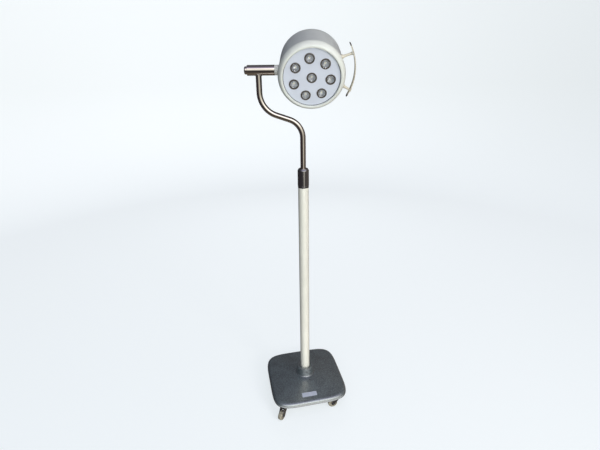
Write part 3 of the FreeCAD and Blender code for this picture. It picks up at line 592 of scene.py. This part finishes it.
def build_drum(builder):
    front, back = SEAM_FRONT - 0.5, SEAM_BACK
    wide, narrow = drum_radius(front), drum_radius(back)
    shell = rounded([(wide, front), (narrow, back), (narrow - DRUM_WALL, back),
                     (wide - DRUM_WALL, front)], 0.9)
    shelf = rounded([(110, -25), (135.2, -25), (135.2, -22), (110, -22)], 0.4)
    parts = [turned("drum_shell", shell, DRUM, 160), turned("drum_shelf", shelf, DRUM)]
    builder.keep(joined("drum_shell", parts), "head", "drum_paint", "head_housing")

    rim = rounded([(RIM_OPENING, -1), (RIM_OPENING, 6.4), (RIM_OPENING + 1.6, RIM_FRONT), (124.6, RIM_FRONT),
                   (130.4, 3.2), (134.6, -4.0), (137.6, -12.5), (138.7, SEAM_FRONT), (136, SEAM_FRONT),
                   (126, 3.2), (120, 4), (120, -1)], 2.4, 5)
    builder.keep(turned("front_rim", rim, DRUM, 160), "head", "bezel_plastic", "bezel_ring")

    # Black ring in the groove round the front panel: painted shade, a dark line standing in for the shadow in
    # the gap between rim and panel
    outer, inner = RIM_OPENING - 0.1, RIM_OPENING - 2.1
    groove_shade = rounded([(inner, -2.95), (outer, -2.95), (outer, -1.5), (inner, -1.5)], 0.4)
    builder.keep(turned("panel_groove_shade", groove_shade, DRUM, 128), "head", "black_plastic")


def lamp_places():
    """Frames of the lamps: one in the middle and a ring of the others."""
    places = [(0.0, 0.0)]
    for k in range(LAMP_COUNT):
        a = math.radians(LAMP_FIRST - 360.0 * k / LAMP_COUNT)
        places.append((LAMP_RING_R * math.cos(a), LAMP_RING_R * math.sin(a)))
    return [DRUM @ Matrix.Translation((x * MM, y * MM, 0)) for x, y in places]


def build_lamps(builder):
    ring = rounded([(16.0, -1.0), (15.0, -0.1), (15.6, 0.9), (17.4, 1.6), (20.0, 1.4), (21.2, 0.2),
                    (21.2, -1.0), (20.0, -1.0), (20.0, -14.0), (18.8, -14.0), (18.8, -2.4),
                    (16.0, -2.4)], 0.7)
    cup = [(4.6, -11.6), (7.4, -11.0), (7.9, -9.6), (11.4, -8.2), (12.0, -6.6), (15.0, -4.6), (16.2, -2.6),
           (17.4, -2.6), (15.6, -6.4), (12.4, -9.8), (8.0, -12.6), (4.6, -12.9)]
    window = [(0, -2.2), (15.6, -2.2), (15.8, LENS_EDGE)]
    for degrees in range(12, 90, 13):
        a = math.radians(degrees)
        window.append((LENS_R * math.cos(a), LENS_EDGE + LENS_DOME * math.sin(a)))
    window.append((0, LENS_EDGE + LENS_DOME))
    places = lamp_places()
    rings = [turned("ring", ring, place, 56) for place in places]
    builder.keep(joined("lamp_rings", rings), "head", "ring_plastic", "lens_rings")
    cups = [turned("cup", rounded(cup, 0.5, 2), place, 48) for place in places]
    builder.keep(joined("lamp_reflectors", cups), "head", "sink_alloy")
    windows = [turned("window", window, place, 48, closed=False) for place in places]
    builder.keep(joined("lamp_lenses", windows), "head", "lens_clear", "lenses")


def grip_mesh(name, start, end, extra=0.0):
    """Curved strip that thins towards both tips, or part of it with some extra thickness, as used for the
    dark painted-shade ends.
    """
    cx, cy = HANDLE_CENTRE
    low, high = HANDLE_ANGLES
    steps = 16 + int(48 * (end - start))
    rings = []
    for k in range(steps + 1):
        t = start + (end - start) * k / steps
        a = math.radians(low + (high - low) * t)
        inward = min(t, 1 - t)
        swell = min(1.0, GRIP_END + inward * GRIP_GROWTH)
        tip = math.sqrt(min(1.0, TIP_END + inward * TIP_GROWTH))
        half = HANDLE_WIDTH / 2 * swell * tip + extra
        thick = HANDLE_THICK / 2 * swell * tip + extra
        ring = []
        for b in around(24):
            c, s = math.cos(b), math.sin(b)
            bulge = 1 / (abs(c) ** 3 + abs(s) ** 3) ** (1 / 3)
            radius = HANDLE_R + thick * bulge * c
            ring.append((cx + radius * math.cos(a), cy + radius * math.sin(a), HANDLE_Z + half * bulge * s))
        rings.append(ring)
    return loft(name, rings, DRUM)


def strut_mesh(foot, tip):
    """Post that flares where it meets the drum and the grip."""
    start, end = Vector((*foot, HANDLE_Z)), Vector((*tip, HANDLE_Z))
    axis = end - start
    length = axis.length + 1.5
    sections = [(-8.0, 9.0), (-1.0, 9.0), (2.0, 8.2), (5.0, 6.6), (9.0, 5.6), (length * 0.55, 5.0),
                (length - 9.0, 5.0), (length - 5.0, 5.6), (length - 2.0, 7.2), (length, 8.4)]
    turn = Matrix.Translation(start * MM) @ axis.to_track_quat("Z", "Y").to_matrix().to_4x4()
    rings = [[(r * math.cos(a), r * math.sin(a), z) for a in around(32)] for z, r in sections]
    return loft("strut", rings, DRUM @ turn)


def build_handle(builder):
    builder.keep(grip_mesh("grip", 0.0, 1.0), "head", "handle_paint", "handle_grip")
    # Dark brown sleeves over both ends of the grip: painted shade standing in for the shaded tips of the
    # strip
    stretches = ((0.0, SHADED_TIP_SHARE), (1.0 - SHADED_TIP_SHARE, 1.0))
    tips = [grip_mesh("tip", start, end, SHADED_TIP_EXTRA) for start, end in stretches]
    builder.keep(joined("grip_tips_painted_shade", tips), "head", "ring_plastic")
    struts = [strut_mesh(foot, tip) for foot, tip in STRUTS]
    builder.keep(joined("struts", struts), "head", "handle_paint", "handle_struts")


def build_wheels(builder):
    half = WHEEL_HALF
    tread = rounded([(TREAD_BORE, 1 - half), (21.8, -half), (24.0, 1.6 - half), (WHEEL_R, 4 - half),
                     (WHEEL_R, -3.2), (GROOVE_R, -2.8), (GROOVE_R, -2.0), (WHEEL_R, -1.6),
                     (WHEEL_R, 1.6), (GROOVE_R, 2.0), (GROOVE_R, 2.8), (WHEEL_R, 3.2),
                     (WHEEL_R, half - 4), (24.0, half - 1.6), (21.8, half), (TREAD_BORE, half - 1)], 0.6, 3)
    core = rounded([(HUB_BORE, -HUB_HALF), (6.4, -HUB_HALF), (7.2, 2 - half), (9.5, -WEB_HALF),
                    (14.5, -WEB_HALF), (16.2, 1 - half), (TREAD_BORE, 1 - half),
                    (TREAD_BORE, half - 1), (16.2, half - 1), (14.5, WEB_HALF),
                    (9.5, WEB_HALF), (7.2, half - 2), (6.4, HUB_HALF), (HUB_BORE, HUB_HALF)], 0.8, 3)
    for key in ("fl", "fr", "bl", "br"):
        joint = JOINTS["roll_" + key]
        turn = Vector(joint["axis"]).to_track_quat("Z", "X").to_matrix().to_4x4()
        place = Matrix.Translation(joint["pos_m"]) @ turn
        body = "wheel_" + key
        builder.keep(turned("tread_" + key, tread, place, 72), body, "wheel_rubber", "wheel_tread_" + key)
        builder.keep(turned("core_" + key, core, place, 72), body, "wheel_core", "wheel_core_" + key)


# --- Studio --------------------------------------------------------------------------------------------
def make_camera():
    data = bpy.data.cameras.new("camera")
    data.lens = LENS_MM
    data.clip_start = 0.01
    camera = bpy.data.objects.new("camera", data)
    bpy.context.collection.objects.link(camera)
    turn = Matrix.Rotation(math.radians(CAMERA_TURN), 4, "Z")
    tilt = Matrix.Rotation(math.radians(CAMERA_TILT), 4, "X")
    roll = Matrix.Rotation(math.radians(CAMERA_ROLL), 4, "Z")
    camera.matrix_world = Matrix.Translation(CAMERA_PLACE) @ turn @ tilt @ roll
    bpy.context.scene.camera = camera


def make_floor():
    """A pale floor that curves up into a round wall."""
    profile = [(FLOOR_RADIUS * k / 8, 0.0) for k in range(9)]
    for a in arc(12)[1:]:
        profile.append((FLOOR_RADIUS + FLOOR_BEND * math.sin(a), FLOOR_BEND * (1 - math.cos(a))))
    profile.append((FLOOR_RADIUS + FLOOR_BEND, WALL_TOP))
    floor = turned("floor", [(r / MM, z / MM) for r, z in profile], closed=False)
    floor.visible_glossy = False
    floor.visible_diffuse = False
    paper = Finish("floor_pale", linear(150, 152, 153), 0.9)
    paper.shader.inputs["Emission Color"].default_value = (*linear(240, 247, 250), 1)
    paper.shader.inputs["Emission Strength"].default_value = FLOOR_GLOW
    floor.data.materials.append(paper.material)


def make_light(name, place, target, size, watts, color=(1, 1, 1), mirrored=False, spread=180):
    """Soft area light; unless it is mirrored, metal shows the painted room instead of it."""
    data = bpy.data.lights.new(name, "AREA")
    data.shape = "RECTANGLE"
    data.size, data.size_y = size
    data.energy = watts
    data.color = color
    data.spread = math.radians(spread)
    light = bpy.data.objects.new(name, data)
    bpy.context.collection.objects.link(light)
    aim = Vector(target) - Vector(place)
    light.matrix_world = Matrix.Translation(place) @ aim.to_track_quat("-Z", "Y").to_matrix().to_4x4()
    light.visible_glossy = mirrored
    light.visible_camera = False


class Room:
    """What metal and gloss mirror: a dark room, a bright window over a narrow door, a warm right side."""

    WALLS = ((-1.0, (0.22, 0.19, 0.15)), (-0.8, (0.16, 0.14, 0.12)), (-0.55, (0.06, 0.052, 0.055)),
             (0.0, (0.055, 0.048, 0.055)), (0.55, (0.08, 0.08, 0.09)), (1.0, (0.16, 0.16, 0.19)))
    WINDOW = ((-0.3, (0, 0, 0)), (-0.08, (0.5, 0.5, 0.45)), (0.12, (1.7, 1.7, 1.5)),
              (0.35, (3.0, 3.0, 2.9)), (0.55, (3.2, 3.2, 3.3)), (0.7, (1.6, 1.55, 1.8)),
              (0.83, (0.5, 0.47, 0.75)), (1.0, (0.12, 0.1, 0.16)))
    DOOR = ((-0.62, (0, 0, 0)), (-0.5, (0.45, 0.42, 0.38)), (-0.2, (1.3, 1.22, 1.05)),
            (-0.05, (0.6, 0.58, 0.5)), (0.1, (0, 0, 0)))
    RIGHT = (0.15, 0.125, 0.10)
    WINDOW_FALL = 1.75
    DOOR_FALL = 18.0

    def __init__(self):
        world = bpy.data.worlds.new("studio")
        bpy.context.scene.world = world
        world.use_nodes = True
        self.nodes, self.links = world.node_tree.nodes, world.node_tree.links
        self.direction = self.nodes.new("ShaderNodeTexCoord").outputs["Generated"]
        split = self.nodes.new("ShaderNodeSeparateXYZ")
        self.links.new(self.direction, split.inputs[0])
        self.height = self.span(split.outputs["Z"], -1, 1)
        a = math.radians(WINDOW_AZIMUTH)
        facing = self.along((math.cos(a), math.sin(a), 0))
        side = self.along((-math.sin(a), math.cos(a), 0))
        window_strength = self.strength(facing, side, self.WINDOW_FALL)
        window = self.mixed("MULTIPLY", self.colors(self.WINDOW), window_strength)
        door_strength = self.strength(facing, side, self.DOOR_FALL)
        door = self.mixed("MULTIPLY", self.colors(self.DOOR), door_strength)
        warm = self.mixed("MULTIPLY", self.RIGHT, self.span(side, 0.0, 1.0))
        total = self.colors(self.WALLS)
        for light in (window, warm, door):
            total = self.mixed("ADD", total, light)
        self.links.new(total, self.nodes["Background"].inputs["Color"])

    def strength(self, facing, side, fall):
        """Strength of a light in front: full in its middle, and less by the square of the way to its side."""
        square = self.calculated("POWER", self.calculated("ABSOLUTE", side), 2.0)
        middle = self.calculated("SUBTRACT", 1.0, self.calculated("MULTIPLY", square, fall))
        return self.calculated("MULTIPLY", self.span(middle, 0, 1), self.span(facing, 0.0, 0.3))

    def along(self, axis):
        """How far a direction points along an axis."""
        node = self.nodes.new("ShaderNodeVectorMath")
        node.operation = "DOT_PRODUCT"
        node.inputs[1].default_value = axis
        self.links.new(self.direction, node.inputs[0])
        return node.outputs["Value"]

    def span(self, value, low, high):
        """The value's place between low and high, from 0 to 1."""
        node = self.nodes.new("ShaderNodeMapRange")
        node.inputs["From Min"].default_value = low
        node.inputs["From Max"].default_value = high
        self.links.new(value, node.inputs["Value"])
        return node.outputs["Result"]

    def calculated(self, operation, first, second=None):
        """Result of a math node on numbers or on the outputs of other nodes."""
        node = self.nodes.new("ShaderNodeMath")
        node.operation = operation
        for socket, value in zip(node.inputs, (first, second)):
            if isinstance(value, (int, float)):
                socket.default_value = value
            elif value is not None:
                self.links.new(value, socket)
        return node.outputs[0]

    def colors(self, stops):
        """Color ramp over the height of a direction, from -1 straight down to 1 straight up."""
        node = self.nodes.new("ShaderNodeValToRGB")
        ramp = node.color_ramp
        while len(ramp.elements) < len(stops):
            ramp.elements.new(0.5)
        for element, (height, color) in zip(ramp.elements, stops):
            element.position = (height + 1) / 2
            element.color = (*color, 1)
        self.links.new(self.height, node.inputs["Fac"])
        return node.outputs["Color"]

    def mixed(self, kind, first, second):
        node = self.nodes.new("ShaderNodeMix")
        node.data_type = "RGBA"
        node.blend_type = kind
        node.inputs[0].default_value = 1.0
        for socket, value in zip((node.inputs[6], node.inputs[7]), (first, second)):
            if isinstance(value, tuple):
                socket.default_value = (*value, 1)
            else:
                self.links.new(value, socket)
        return node.outputs[2]


def make_studio():
    """Camera, floor, mirrored room and lights."""
    bpy.context.scene.view_settings.view_transform = "Standard"
    make_camera()
    make_floor()
    Room()
    middle = (0.0, 0.0, 1.1)
    make_light("key", (1.5, -2.8, 1.9), middle, (0.8, 0.8), 34.0, (1.0, 0.975, 0.925))
    make_light("front", (-0.1, -3.3, 0.35), middle, (2.0, 0.7), 12.9, spread=100)
    make_light("fill", (-2.6, -1.6, 1.8), middle, (1.5, 2.2), 9.0, (0.6, 0.86, 1.0))
    make_light("top", (0.3, -0.4, 4.6), (0, 0, 0), (3.0, 3.0), 16.0)
    make_light("back", (0.6, 3.2, 2.4), middle, (2.0, 2.0), 22.0)
    make_light("bounce", (0.0, -0.36, 0.004), (0.0, -0.36, 1.0), (0.9, 0.24), 0.95, (1.0, 0.96, 0.95),
               mirrored=True)


def build_pieces(materials):
    builder = Builder(materials)
    for build in (build_base, build_mast, build_arm, build_drum, build_lamps, build_handle, build_wheels):
        build(builder)


make_studio()
finishes = make_materials()
finish_nodes(finishes)
build_pieces(finishes)
